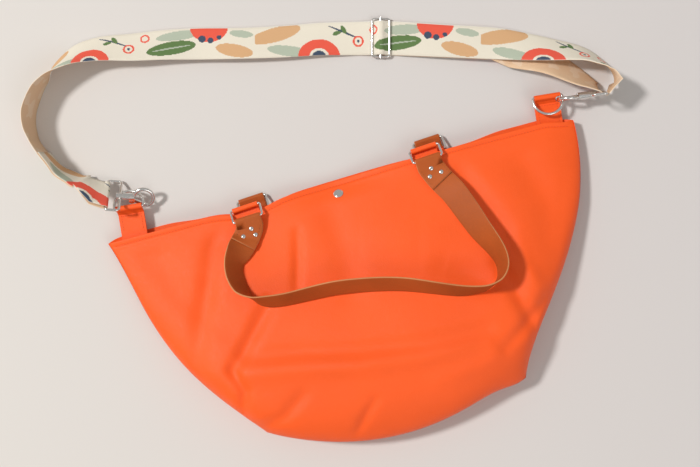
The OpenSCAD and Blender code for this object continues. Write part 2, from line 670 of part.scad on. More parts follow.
under = [[315.5, 30.5, -14, -10, 8.5], [307.5, 39.5, -19, -13.5, 5.5], [298.5, 50, -22, -17, 2.5],
    [289.5, 60, -23.5, -20, 0.6], [279.5, 69.5, -23, -24, 0.6], [269, 78, -22.6, -28, 0.6],
    [257, 85.5, -22, -31, 0.5], [241, 94, -21.5, -33, 0.4]];

function rise(q) = sqrt(max(4, strap_w * strap_w - q[2] * q[2] - q[3] * q[3]));
function low_mid(q) = [q[0], q[1], q[4] + rise(q) / 2];
function lean_of(q) = unit([q[2], q[3], rise(q)]);
function path(p, m) = let (a = smooth([for (q = p) low_mid(q)], m), b = smooth([for (q = p) lean_of(q)], m))
    [for (i = [0:len(a) - 1]) [a[i], unit(b[i])]];
function strap_st(p, t) = [for (i = [0:len(p) - 1]) let (
        d = unit(p[min(len(p) - 1, i + 1)][0] - p[max(0, i - 1)][0]),
        w = unit(p[i][1] - (p[i][1] * d) * d), n = unit(cross(w, d)),
        low = p[i][0][2] - abs(w[2]) * strap_w / 2 + min(0, n[2] * t))
    [p[i][0] + [0, 0, max(0, 0.25 - low)], w, n, t]];

// The wrap round a bail bar: angles count from the side away from the hook
function wrap_at(c, x, bar, r, a, d) = let (s = cross(bar, x))
    [c + r * (-cos(a) * x + sin(a) * s) + d * (sin(a) * x + cos(a) * s), bar];
function wrap(c, x, bar, r, from, to, n, d) = concat(
    [for (k = [1, 0.35]) wrap_at(c, x, bar, r, from, -d * k)],
    [for (k = [0:n]) wrap_at(c, x, bar, r, from + (to - from) * k / n, 0)],
    [for (k = [0.35, 1]) wrap_at(c, x, bar, r, to, d * k)]);
wrap_r = bail_r + 0.15;
left_c = left_o + bail_x * left_x_dir;
left_b = square_to(left_bar, left_x_dir);
right_c = right_o + bail_x * right_x_dir;
right_b = square_to(right_bar, right_x_dir);

// Slider frame on the doubled run: local x along the strap, local y across it
slide_o = [94.1, 149.4, 0];
slide_x = unit([0.967, -0.254, 0]);
slide_y = [-slide_x[1], slide_x[0], 0];
slide_r = 1.5;
slide_z = 0.3 + 2 * strap_t + 0.45 + slide_r;
mid_r = 1.2;
side_at = 10.2;
function on_slider(x, z) = [slide_o + x * slide_x + [0, 0, z], -slide_y];
low_z = 0.3 + strap_t + 0.3;
top_z = slide_z + mid_r + 0.15 + strap_t + 0.15;
hump = [[-26, 0.7], [-16, low_z], [-10.6, low_z], [-8.8, low_z + 0.25], [-2.6, top_z - 0.7], [-1.2, top_z],
    [1.2, top_z], [2.6, top_z - 0.7], [8.8, low_z + 0.25], [10.6, low_z], [16, low_z]];
function curl(a, r) = [slide_o + (r * cos(a)) * slide_x + [0, 0, slide_z + r * sin(a)], -slide_y];
run_path = path(run, 3);
run_st = strap_st(run_path, 0);
over_path = path(over, 3);
over_st = strap_st(over_path, 0);
tail_path = [for (i = [10:-1:0]) [run_path[i][0] - 0.35 * run_st[i][2], run_path[i][1]]];
back_path = [for (i = [6:-1:0]) [over_path[i][0] - 0.3 * over_st[i][2], over_path[i][1]]];
strap_path = concat(tail_path,
    wrap(left_c, left_x_dir, left_b, wrap_r, 100, 280, 11, 10),
    run_path,
    [for (h = hump) on_slider(h[0], h[1])],
    over_path,
    wrap(right_c, right_x_dir, right_b, wrap_r, 46, 132, 6, 7),
    path(under, 2),
    back_path,
    [for (x = [16, 10.6, 7]) on_slider(x, low_z - 0.3)],
    [for (a = [-75:-20:-320]) curl(a, mid_r + 0.15)]);
module strap() {
    color("mistyrose") place() strip(strap_st(strap_path, strap_t), strap_w);
}
frame_y = strap_w / 2 + 2;
module slider_frame() {
    color("silver") place() frame(slide_o + [0, 0, slide_z], slide_x, slide_y) difference() {
        union() {
            for (x = [-side_at, side_at]) translate([x, 3 - frame_y, 0]) rotate([-90, 0, 0])
                cylinder(r = slide_r, h = 2 * (frame_y - 3));
            for (y = [-frame_y, frame_y]) {
                translate([3 - side_at, y, 0]) rotate([0, 90, 0])
                    cylinder(r = slide_r, h = 2 * (side_at - 3));
                translate([0, y - 1.5, 0]) rotate([-90, 0, 0]) cylinder(r = 2.2, h = 3);
            }
            for (c = [[1, 1, 0], [-1, 1, 90], [-1, -1, 180], [1, -1, 270]])
                translate([c[0] * (side_at - 3), c[1] * (frame_y - 3), 0]) rotate([0, 0, c[2]])
                    rotate_extrude(angle = 90) translate([3, 0]) circle(r = slide_r);
        }
        translate([0, -frame_y - 5, 0]) rotate([-90, 0, 0]) cylinder(r = mid_r + 0.02, h = 2 * frame_y + 10);
    }
}
module slider_bar() {
    color("silver") place() frame(slide_o + [0, 0, slide_z], slide_x, slide_y)
        translate([0, -frame_y - 1.8, 0]) rotate([-90, 0, 0]) cylinder(r = mid_r, h = 2 * frame_y + 3.6);
}

front_panel();
back_panel();
front_facing();
back_facing();
snap_cap();
snap_socket();
snap_stud();
snap_back_cap();
front_left_ring();
front_right_ring();
back_left_ring();
back_right_ring();
front_left_tab();
front_right_tab();
back_left_tab();
back_right_tab();
front_handle();
front_left_rivets();
front_right_rivets();
back_handle();
back_left_rivets();
back_right_rivets();
left_side_tab();
right_side_tab();
left_d_ring();
right_d_ring();
left_hook_body();
left_hook_gate();
left_hook_pin();
left_bail();
right_hook_body();
right_hook_gate();
right_hook_pin();
right_bail();
strap();
slider_frame();
slider_bar();
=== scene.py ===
"""Looks of the lying trapeze bag: leather shell, handles, woven strap, hardware and stage."""

import math

import bpy
import numpy as np
from bpy.props import FloatProperty, FloatVectorProperty, PointerProperty
from mathutils import Matrix, Vector


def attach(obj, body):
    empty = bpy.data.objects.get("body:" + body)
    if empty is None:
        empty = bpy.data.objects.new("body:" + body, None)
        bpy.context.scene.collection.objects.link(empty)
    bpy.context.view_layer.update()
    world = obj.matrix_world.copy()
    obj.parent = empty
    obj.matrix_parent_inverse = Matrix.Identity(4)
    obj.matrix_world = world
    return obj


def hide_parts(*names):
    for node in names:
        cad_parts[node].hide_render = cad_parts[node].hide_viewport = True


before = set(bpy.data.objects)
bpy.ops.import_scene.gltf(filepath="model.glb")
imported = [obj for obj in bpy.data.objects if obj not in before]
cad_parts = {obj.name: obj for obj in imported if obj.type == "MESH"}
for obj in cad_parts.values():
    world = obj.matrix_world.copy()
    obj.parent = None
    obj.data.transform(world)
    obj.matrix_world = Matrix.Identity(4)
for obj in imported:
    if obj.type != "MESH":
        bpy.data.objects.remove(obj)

bl_info = {
    "name": "Trapeze bag dressing",
    "version": (1, 0, 0),
    "blender": (4, 5, 0),
    "location": "View3D > Sidebar > Trapeze bag",
    "description": "Builds the soft shell, handles, strap, finishes and stage of the trapeze bag",
    "category": "Object",
}

# Sizes shared with the CAD, in millimetres; X along the mouth, Y out of it, measured from the mouth
REST_Y = 239.98
ML, MR, BL, BR = 273.0, 285.0, 148.0, 155.0
DEPTH, BELLY, BOW, FULL, MOUTH, SNAP = 260.0, 41.0, 28.0, 60.0, 21.0, 11.4
SHELL, TAB_X, GAP, CORNER, BACK_X = 1.5, 108.25, 0.1, 14.0, 9.0


def bump(v, c, w):
    return np.exp(-(((v - c) / w) ** 2))


def ease(k):
    c = np.clip(k, 0, 1)
    return c * c * (3 - 2 * c)


def unit(v):
    v = np.asarray(v, float)
    return v / np.maximum(np.linalg.norm(v, axis=-1, keepdims=True), 1e-12)


def table_of(points, blur):
    """A smooth curve through a short list of (t, value) pairs."""
    t = np.linspace(-0.1, 1.1, 601)
    v = np.interp(t, [p[0] for p in points], [p[1] for p in points])
    k = np.exp(-((np.arange(-60, 61) * 0.002 / blur) ** 2))
    pad = np.concatenate([np.full(60, v[0]), v, np.full(60, v[-1])])
    soft = np.convolve(pad, k / k.sum(), "valid")
    return lambda x: np.interp(x, t, soft)


SEAM = table_of([(0, 14), (0.35, 18), (0.7, 13), (0.87, 11), (0.95, 17), (1, 26), (1.1, 30)], 0.012)
CROWN = table_of([(-0.1, MOUTH - 2), (0, MOUTH), (0.1, MOUTH + 4.5), (0.2, FULL * 0.55),
                  (0.4, FULL * 0.73), (0.66, FULL), (0.86, FULL), (1, FULL * 0.93)], 0.03)


def left_x(t):
    return -ML - (BL - ML) * t - BOW * np.sin(np.pi * t ** 1.3)


def right_x(t):
    return MR + (BR - MR) * t + BOW * 1.09 * np.sin(np.pi * t ** 0.9)


def at_x(s, t):
    return left_x(t) + s * (right_x(t) - left_x(t))


def mouth_line(x):
    return 4.5 * x / np.sqrt(x * x + 14400) - 5 * ease((x - MR + 37) / 30)


def front_edge(x):
    return mouth_line(x) - 8.6 * bump(x, 4 - TAB_X, 30)


def back_edge(x):
    rest = np.maximum(0, 1 - np.abs(x / np.where(x < 0, ML, MR)) ** 36)
    return (mouth_line(x) + (1.7 + 3.8 * ease((np.abs(x) - 160) / 45)) * rest
            - 11 * bump(x, BACK_X - TAB_X, 30) - 2 * bump(x, BACK_X + TAB_X, 30))


def base_y(s, t):
    return -t * (DEPTH + BELLY * 4 * s * (1 - s)) - CORNER * bump(s, 1, 0.1) * t ** 14


def front_point(s, t):
    """Outer face of the front: s from left to right, t from mouth to base."""
    x = at_x(s, t)
    edge = front_edge(at_x(s, 0 * t))
    y = edge * (1 - t) ** 2 + base_y(s, t)
    u = np.abs(2 * s - 1)
    roll = np.sqrt(np.maximum(0, 1 - u ** (5 + 7 * t ** 4)))
    end = np.sqrt(np.maximum(0, 1 - t ** 16))
    dip = (MOUTH - SNAP) * bump(x, 0, 52) * (1 - ease((edge - y) / 28))
    z = SEAM(t) + (CROWN(t) - SEAM(t)) * roll * end - dip + GAP / 2
    return np.stack([x, y, z], -1)


def back_point(s, t):
    """Outer face of the back, with the hollow that its handle lies in."""
    x = at_x(s, t)
    y = back_edge(at_x(s, 0 * t)) * (1 - t) ** 2 + base_y(s, t)
    u = np.abs(2 * s - 1)
    low = 1.08 * np.sqrt(np.maximum(0, 1 - u ** 8)) * np.sqrt(np.maximum(0, 1 - t ** 24))
    low = np.minimum(1, low)
    pocket = 5.4 * ease((167 - np.abs(x)) / 34) * ease((y + 197) / 34)
    return np.stack([x, y, SEAM(t) * (1 - low) + pocket * low - GAP / 2 * (low <= 0)], -1)


def near(x, y, line):
    """Distance from plan points to a broken line, and how far along it they are."""
    best = np.full(x.shape, 1e9)
    along = np.zeros(x.shape)
    p = np.array(line, float)
    seg = np.linalg.norm(p[1:] - p[:-1], axis=1)
    total, run = seg.sum(), 0.0
    for a, b, length in zip(p[:-1], p[1:], seg):
        k = np.clip(((x - a[0]) * (b[0] - a[0]) + (y - a[1]) * (b[1] - a[1])) / length ** 2, 0, 1)
        d = np.hypot(x - a[0] - k * (b[0] - a[0]), y - a[1] - k * (b[1] - a[1]))
        along = np.where(d < best, (run + k * length) / total, along)
        best = np.minimum(best, d)
        run += length
    return best, along


# Folds of the front leather: line on the plan, half width, height
FOLDS = [
    ([(-144, -12), (-160, -52), (-175, -95)], 12, -4.2),
    ([(-56, -45), (-64, -79), (-72, -108)], 6, -3.4),
    ([(-173, -82), (-190, -126), (-207, -173)], 13, -4.4),
    ([(-107, -117), (-137, -150), (-165, -180)], 9, -6.0),
    ([(-165, -178), (-157, -205), (-167, -232)], 7, -4.6),
    ([(-146, -185), (-90, -195), (-25, -209), (42, -217), (118, -221)], 11, 3.4),
    ([(-146, -168), (-86, -177), (-21, -192), (46, -201), (122, -204)], 10, -3.4),
    ([(157, -137), (168, -184), (178, -224)], 9, -5.2),
    ([(181, -117), (191, -173)], 9, 3.4),
    ([(198, -191), (161, -217), (138, -231)], 8, -4.2),
    ([(137, -14), (162, -77), (186, -145)], 11, -4.6),
    ([(98, -128), (120, -141), (142, -156)], 16, -5.0),
    ([(11, -71), (76, -90)], 32, 4.2),
    ([(-18, -250), (-34, -267), (-49, -285)], 6, -3.0),
    ([(-227, -30), (-200, -89), (-159, -135)], 17, -3.2),
    ([(-15, -30), (-9, -80), (-13, -125)], 18, -3.0),
    ([(215, -35), (228, -90), (215, -145)], 18, -3.0),
    ([(-95, -225), (-120, -243), (-150, -250)], 8, -3.2),
    ([(60, -245), (110, -240), (150, -225)], 12, 2.6),
]


def wrinkled(p, s, t, depth):
    """Lifts and sinks the front along its folds, fading out at the seams and the mouth."""
    x, y = p[..., 0], p[..., 1]
    h = np.zeros(x.shape)
    for line, w, high in FOLDS:
        d, k = near(x, y, line)
        h += high * np.exp(-((d / w) ** 2)) * np.sin(np.pi * np.clip(0.16 + 0.68 * k, 0, 1)) ** 0.7
    h += 0.7 * np.sin(x / 37 + 1.3) * np.sin(y / 41 + 0.4) + 0.35 * np.sin(x / 17 + y / 23)
    fade = ease((1 - np.abs(2 * s - 1)) / 0.1) * ease((1 - t) / 0.08) * ease((t - 0.03) / 0.09)
    out = p.copy()
    out[..., 2] += depth * h * fade
    return out


def normals_of(g):
    """Unit normals of a grid of points."""
    return unit(np.cross(np.gradient(g, axis=1), -np.gradient(g, axis=0)))


def new_piece(name, verts, faces, body, mats, which=None, values=None):
    """Makes a mesh from millimetre points measured from the mouth, and puts it on a CAD body."""
    v = np.asarray(verts, float).reshape(-1, 3) + [0, REST_Y, 0]
    mesh = bpy.data.meshes.new(name)
    mesh.from_pydata((v / 1000).tolist(), [], [list(map(int, f)) for f in faces])
    for m in mats:
        mesh.materials.append(m)
    if which is not None:
        mesh.polygons.foreach_set("material_index", np.asarray(which, np.int32))
    mesh.polygons.foreach_set("use_smooth", np.full(len(mesh.polygons), True))
    for key, val in (values or {}).items():
        a = mesh.attributes.new(key, "FLOAT", "POINT")
        a.data.foreach_set("value", np.asarray(val, np.float32).ravel())
    mesh.update()
    if not len(mesh.polygons):
        raise RuntimeError(name + " has no faces")
    obj = bpy.data.objects.new(name, mesh)
    bpy.context.scene.collection.objects.link(obj)
    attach(obj, body)
    return obj


def grid_faces(r, c, start=0, turn=False, close=False):
    """Faces of a grid of r by c points, closed into rings where asked."""
    i = np.arange(r - 1)[:, None]
    j = np.arange(c if close else c - 1)[None, :]
    k = (j + 1) % c
    q = np.stack([i * c + j, i * c + k, (i + 1) * c + k, (i + 1) * c + j], -1).reshape(-1, 4) + start
    return q[:, ::-1] if turn else q


def sheet_solid(top, low):
    """Vertices and faces of the space between two matching grids, with its four edge walls."""
    r, c = top.shape[:2]
    n = r * c
    rim = np.concatenate([np.arange(c), np.arange(1, r) * c + c - 1,
                          (r - 1) * c + np.arange(c - 2, -1, -1), np.arange(r - 2, 0, -1) * c])
    nxt = np.roll(rim, -1)
    wall = np.stack([rim, rim + n, nxt + n, nxt], -1)
    faces = np.concatenate([grid_faces(r, c, 0, True), grid_faces(r, c, n), wall[:, ::-1]])
    return np.concatenate([top.reshape(-1, 3), low.reshape(-1, 3)]), faces


def thread(name, runs, body, mat, size):
    """Rows of stitches: each run is (points, normals, pitch, length)."""
    verts, faces, sides = [], [], 6
    for pts, nor, pitch, length in runs:
        pts, nor = np.asarray(pts, float), unit(nor)
        seg = np.linalg.norm(np.diff(pts, axis=0), axis=1)
        run = np.concatenate([[0], np.cumsum(seg)])
        for d in np.arange(pitch * 0.6, run[-1] - pitch * 0.4, pitch):
            a = np.array([np.interp(d - length / 2, run, pts[:, k]) for k in range(3)])
            b = np.array([np.interp(d + length / 2, run, pts[:, k]) for k in range(3)])
            n = unit(np.array([np.interp(d, run, nor[:, k]) for k in range(3)]))
            t = unit(b - a)
            w = np.cross(n, t)
            base = len(verts)
            for q, lift, k in ((a, -0.25, 0.35), (a * 0.75 + b * 0.25, 0.8, 1),
                               (a * 0.25 + b * 0.75, 0.8, 1), (b, -0.25, 0.35)):
                for e in range(sides):
                    ang = math.radians(60 * e)
                    verts.append(q + n * size * lift
                                 + k * size * (math.cos(ang) * w + math.sin(ang) * n))
            faces += [tuple(f) for f in grid_faces(4, sides, base, close=True)]
            faces += [tuple(base + e for e in range(sides - 1, -1, -1)),
                      tuple(base + 3 * sides + e for e in range(sides))]
    return new_piece(name, verts, faces, body, [mat])


def smooth_line(p, m):
    """Catmull-Rom curve through rows of any width."""
    p = np.asarray(p, float)
    q = np.vstack([p[:1], p, p[-1:]])
    out = []
    for i in range(len(p) - 1):
        a, b, c, d = q[i:i + 4]
        for k in np.arange(m) / m:
            out.append(0.5 * (2 * b + (c - a) * k + (2 * a - 5 * b + 4 * c - d) * k * k
                              + (3 * b - a - 3 * c + d) * k ** 3))
    return np.array(out + [p[-1]])


# Rivet heads: radius, height, profile and the most that one rivet spans; and how deep trims sink in
RIVET_R, RIVET_H, RIVET_SPAN, SINK = 2.7, 1.15, 7.0, 0.15
DOME = ((0.96, 0), (1, 0.18), (0.94, 0.45), (0.72, 0.78), (0.4, 0.95), (0.1, 1))
ROUND = 20


def rivet_heads(name, spots, body):
    """Domed rivet heads standing on the given points and normals."""
    verts, faces = [], []
    top = ROUND * (len(DOME) - 1)
    for o, n in spots:
        n = unit(n)
        u = unit(np.cross(n, [0.3, 0.9, 0.1]))
        v = np.cross(n, u)
        base = len(verts)
        for q, z in DOME:
            for a in np.linspace(0, 2 * np.pi, ROUND, endpoint=False):
                out = math.cos(a) * u + math.sin(a) * v
                verts.append(o + RIVET_R * q * out + n * RIVET_H * z)
        faces += [tuple(f) for f in grid_faces(len(DOME), ROUND, base, close=True)]
        faces += [tuple(base + e for e in range(ROUND - 1, -1, -1)),
                  tuple(base + top + e for e in range(ROUND))]
    return new_piece(name, verts, faces, body, [nickel()])


# Shader helpers
class Nodes:
    """Builds one material's node tree from short calls."""

    def __init__(self, name):
        self.mat = bpy.data.materials.new(name)
        self.mat.use_nodes = True
        self.tree = self.mat.node_tree
        self.bsdf = self.tree.nodes["Principled BSDF"]

    def add(self, kind, inputs=(), **props):
        n = self.tree.nodes.new(kind)
        for k, v in props.items():
            setattr(n, k, v)
        for k, v in dict(inputs).items():
            self.put(n.inputs[k], v)
        return n

    def put(self, socket, v):
        if isinstance(v, bpy.types.NodeSocket):
            self.tree.links.new(v, socket)
        elif v is not None:
            socket.default_value = v

    def math(self, op, a, b=None, c=None):
        n = self.tree.nodes.new("ShaderNodeMath")
        n.operation = op
        for i, v in enumerate((a, b, c)):
            self.put(n.inputs[i], v)
        return n.outputs[0]

    def where(self):
        return self.add("ShaderNodeTexCoord").outputs["Object"]

    def value(self, name):
        return self.add("ShaderNodeAttribute", attribute_name=name).outputs["Fac"]

    def noise(self, scale, detail=3.0, rough=0.5, vector=None):
        n = self.add("ShaderNodeTexNoise", {"Vector": vector or self.where(), "Scale": scale,
                                            "Detail": detail, "Roughness": rough})
        return n.outputs["Fac"]

    def mix(self, fac, a, b):
        n = self.tree.nodes.new("ShaderNodeMix")
        n.data_type = "RGBA"
        self.put(n.inputs[0], fac)
        self.put(n.inputs[6], a)
        self.put(n.inputs[7], b)
        return n.outputs[2]

    def span(self, v, lo, hi, to_lo=0.0, to_hi=1.0):
        n = self.add("ShaderNodeMapRange", {"Value": v, "From Min": lo, "From Max": hi,
                                            "To Min": to_lo, "To Max": to_hi})
        return n.outputs["Result"]

    def bump(self, height, distance, strength=1.0):
        n = self.add("ShaderNodeBump", {"Height": height, "Distance": distance, "Strength": strength})
        self.put(self.bsdf.inputs["Normal"], n.outputs["Normal"])

    def finish(self, color, rough, metal=0.0, specular=0.5):
        self.put(self.bsdf.inputs["Base Color"], color)
        self.put(self.bsdf.inputs["Roughness"], rough)
        self.put(self.bsdf.inputs["Metallic"], metal)
        self.put(self.bsdf.inputs["Specular IOR Level"], specular)
        return self.mat


def rgb(r, g, b):
    """Linear colour from display values of 0 to 255."""
    return tuple(((c / 255 + 0.055) / 1.055) ** 2.4 if c > 10 else c / 3294 for c in (r, g, b)) + (1.0,)


def made(name, build):
    """The material of that name, built once."""
    return bpy.data.materials.get(name) or build(Nodes(name))


# Scales of the leather's grain cells, pores and mottling, per metre
CELLS, PORES, MOTTLE = 900.0, 420.0, 14.0


def leather(name, color, dark, light, rough, grain, shine=0.3):
    """Grained hide with a soft mottling between dark and color, and paler pores."""
    def build(n):
        cells = n.add("ShaderNodeTexVoronoi", {"Vector": n.where(), "Scale": CELLS},
                      feature="DISTANCE_TO_EDGE").outputs["Distance"]
        soft = n.noise(MOTTLE, 4.0)
        fine = n.noise(PORES, 2.0)
        tone = n.mix(n.span(soft, 0.35, 0.7), dark, color)
        tone = n.mix(n.span(fine, 0.5, 0.8, 0.0, 0.25), tone, light)
        height = n.math("ADD", n.span(cells, 0.0, 0.25), n.math("MULTIPLY", fine, 0.8))
        n.bump(height, 0.00018 * grain, 0.55)
        return n.finish(tone, n.span(fine, 0.3, 0.7, rough - 0.04, rough + 0.06), 0.0, shine)
    return made(name, build)


def toned(color, gain, plus=0.0):
    return tuple(min(1, k * gain + plus) for k in color[:3]) + (1.0,)


def orange_leather(cfg):
    c = toned(cfg.orange, 1)
    return leather("orange_hide", c, toned(c, 0.93), toned(c, 1.12, 0.01), 0.46, 1.0)


def brown_leather(cfg):
    c = toned(cfg.brown, 1)
    return leather("brown_hide", c, toned(c, 0.8), toned(c, 1.25), 0.5, 0.7, 0.16)


def edge_leather():
    return leather("cut_edge_leather", rgb(205, 138, 88), rgb(190, 120, 72), rgb(222, 165, 118),
                   0.6, 0.5)


def metal(name, color, rough):
    """Plated metal with faint changes of gloss."""
    def build(n):
        fine = n.noise(260.0, 2.0)
        return n.finish(color, n.span(fine, 0.3, 0.7, rough, rough + 0.07), 1.0, 0.5)
    return made(name, build)


def nickel():
    return metal("nickel_plate", (0.78, 0.76, 0.73, 1.0), 0.16)


def steel():
    return metal("satin_steel", (0.62, 0.61, 0.6, 1.0), 0.3)


def cotton(name, color):
    """Matt sewing thread."""
    def build(n):
        fine = n.noise(1500.0, 2.0)
        n.bump(fine, 0.0001, 0.5)
        tone = n.mix(n.span(fine, 0.3, 0.8, 0.0, 0.35), color, toned(color, 0.6))
        return n.finish(tone, 0.75, 0.0, 0.3)
    return made(name, build)


# Motifs on the webbing: place along and across in mm, half sizes, turn in degrees, colour
CREAM, CORAL, TAN = rgb(239, 230, 211), rgb(241, 88, 66), rgb(222, 174, 126)
LEAF, SAGE, NAVY = rgb(92, 124, 68), rgb(184, 193, 172), rgb(52, 72, 98)
MOTIFS = [
    (24, -9, 31, 9, -13, TAN), (38, 12, 24, 6.5, 10, SAGE),
    (74, 21, 25, 21, 0, CORAL), (74, 21, 12, 10, 0, CREAM), (74, 21, 8.5, 7, 0, NAVY),
    (104, -8, 20, 1.1, 24, NAVY), (104, -11, 5.5, 2.6, 60, LEAF), (96, -7, 5, 2.4, -20, LEAF),
    (121, 3, 6.6, 6.6, 0, CORAL), (121, 3, 4.4, 4.4, 0, CREAM), (121, 3, 1.7, 1.7, 0, NAVY),
    (140, -10, 5.6, 5.6, 0, CORAL), (140, -10, 3.6, 3.6, 0, CREAM),
    (170, 5, 29, 8.5, -9, LEAF), (178, -11, 25, 6, -6, SAGE), (170, 5, 24, 0.9, -9, SAGE),
    (214, -21, 22, 19, 0, CORAL), (206, -6, 4.4, 4.4, 0, NAVY), (216, -4, 3.6, 3.6, 0, NAVY),
    (226, -8, 2.8, 2.8, 0, NAVY), (244, 9, 22, 8, 12, TAN), (252, -12, 14, 4.6, 8, SAGE),
]
REPEAT = 268.0
# Size of a woven dot, pitch of the threads along and across, and where the selvedge begins, in mm
DOT, PICK, END, SELVEDGE = 0.9, 1.15, 1.8, 18.9
BACK_TAN, BACK_CREAM = rgb(236, 202, 166), rgb(248, 232, 212)
ORANGE_THREAD, BROWN_THREAD = rgb(232, 92, 48), rgb(150, 82, 45)


def weave(n):
    """Bumps of the crossing threads. Gives their wave, from -1 to 1."""
    wave = n.math("MULTIPLY", n.math("SINE", n.math("MULTIPLY", n.value("along"), 6.28 / PICK)),
                  n.math("SINE", n.math("MULTIPLY", n.value("across"), 6.28 / END)))
    n.bump(wave, 0.00022, 0.6)
    return wave


def webbing(cfg):
    """The patterned face of the strap."""
    def build(n):
        along = n.math("SNAP", n.value("along"), DOT)
        across = n.math("SNAP", n.value("across"), DOT)
        turned = n.math("FLOORED_MODULO", along, REPEAT * cfg.repeat)
        turned = n.math("DIVIDE", turned, cfg.repeat)
        flat = n.add("ShaderNodeCombineXYZ", {"X": turned, "Y": across}).outputs[0]
        color = CREAM
        for u, v, a, b, deg, tone in MOTIFS:
            spot = n.add("ShaderNodeMapping",
                         {"Vector": flat, "Location": (u, v, 0), "Rotation": (0, 0, math.radians(deg)),
                          "Scale": (a, b, 1)}, vector_type="TEXTURE").outputs[0]
            size = n.add("ShaderNodeVectorMath", {0: spot}, operation="LENGTH").outputs["Value"]
            color = n.mix(n.math("LESS_THAN", size, 1.0), color, tone)
        edge = n.math("GREATER_THAN", n.math("ABSOLUTE", across), SELVEDGE)
        color = n.mix(edge, color, rgb(244, 238, 226))
        shade = n.span(weave(n), -1.0, 1.0, 0.0, 0.16)
        return n.finish(n.mix(shade, color, rgb(150, 140, 125)), 0.72, 0.0, 0.25)
    return made("woven_cotton", build)


def webbing_back():
    """The tan reverse of the strap, with its paler floats."""
    def build(n):
        shade = n.span(weave(n), -1.0, 1.0, 0.0, 0.2)
        floats = n.math("GREATER_THAN", n.noise(55.0, 1.0), 0.56)
        tone = n.mix(n.math("MULTIPLY", floats, 0.35), BACK_TAN, BACK_CREAM)
        return n.finish(n.mix(shade, tone, rgb(150, 120, 90)), 0.75, 0.0, 0.25)
    return made("strap_back", build)


# The stage: table tones painted lighter on the left and darker on the right as the key light's falloff,
# key and fill light, room light and the camera
TABLE_LIT_LEFT, TABLE_SHADED_RIGHT, TABLE_HALF = (0.685, 0.645, 0.60, 1.0), (0.64, 0.60, 0.58, 1.0), 4
AIMED = Vector((0.0, 0.18, 0.0))
LAMPS = (("key", (-0.55, 0.335, 0.766), 6.0, 0.8, 265.0), ("fill", (0.25, -0.6, 0.76), 4.0, 2.4, 26.0))
ROOM, ROOM_STRENGTH = (1.0, 0.985, 0.965, 1.0), 0.42
CAMERA_AT, CAMERA_TURN, LENS = (0.0015, 0.17688, 1.15), math.radians(-14.6), 50.32

# The handle strips
HINGE_AT = math.radians(3.83)
HINGE = np.array([math.cos(HINGE_AT), math.sin(HINGE_AT), 0])
INWARD = np.array([math.sin(HINGE_AT), -math.cos(HINGE_AT), 0])
REACH = TAB_X / math.cos(HINGE_AT)
RING_D, BORE, GRIP_T, GRIP_W = 17.0, 1.48, 2.2, 30.0
TILT = math.radians(35)
# Ends of the laps in stations, steps round a ring bar, and how far a lap lies and springs off
LAP_LEFT, LAP_RIGHT, TURN = 17, 13, 14
LAY, SPRING = 0.06, 0.6
FRONT_A = np.array([0, 3.75, MOUTH])
FRONT_B = FRONT_A + RING_D * (math.cos(TILT) * INWARD + np.array([0, 0, math.sin(TILT)]))
BACK_T, REST_Z = 1.8, 0.6
BACK_LOOP, BACK_LOOP_R = 150.0, 40.0
BACK_A = np.array([BACK_X, -3.25 + BACK_X * math.tan(HINGE_AT), 11.28])
BACK_Z = REST_Z + BACK_T + BORE
BACK_TILT = math.asin((BACK_A[2] - BACK_Z) / RING_D)
BACK_B = BACK_A - RING_D * math.cos(BACK_TILT) * INWARD - np.array([0, 0, BACK_A[2] - BACK_Z])
GRIP = [[-115, -39, 4], [-124.5, -49, 22], [-132.5, -58.5, 45], [-136.3, -70, 55], [-136, -82, 60],
        [-132.5, -94.5, 70], [-124, -106, 95], [-113, -112.3, 113], [-98.5, -115.8, 119],
        [-80.5, -117.3, 120], [-55, -117.6, 122], [-29, -118.7, 123], [-2, -122.6, 123],
        [25, -128.2, 123], [50, -135.4, 121], [76, -145.6, 118], [101.5, -155.2, 115],
        [122, -159.8, 109], [137, -159.8, 102], [150, -154.4, 91], [157, -144, 77],
        [158.3, -131, 65], [154, -115.5, 52], [145, -94.8, 37], [136, -69.4, 25], [127, -46, 17],
        [117.5, -29, 6]]


def height_at(points, grid):
    """Height of the dressed front under plan points, from its own grid."""
    flat = grid.reshape(-1, 3)
    out = []
    for p in np.atleast_2d(points):
        d = (flat[:, 0] - p[0]) ** 2 + (flat[:, 1] - p[1]) ** 2
        k = np.argpartition(d, 4)[:4]
        w = 1 / (d[k] + 0.01)
        out.append((flat[k, 2] * w).sum() / w.sum())
    return np.array(out)


def plain_front():
    """Grid of the front without its folds, as the CAD has it."""
    s = (1 + np.sin(np.linspace(-np.pi / 2, np.pi / 2, 161))) / 2
    t = np.linspace(0, 1, 161)
    return front_point(*np.meshgrid(s, t))


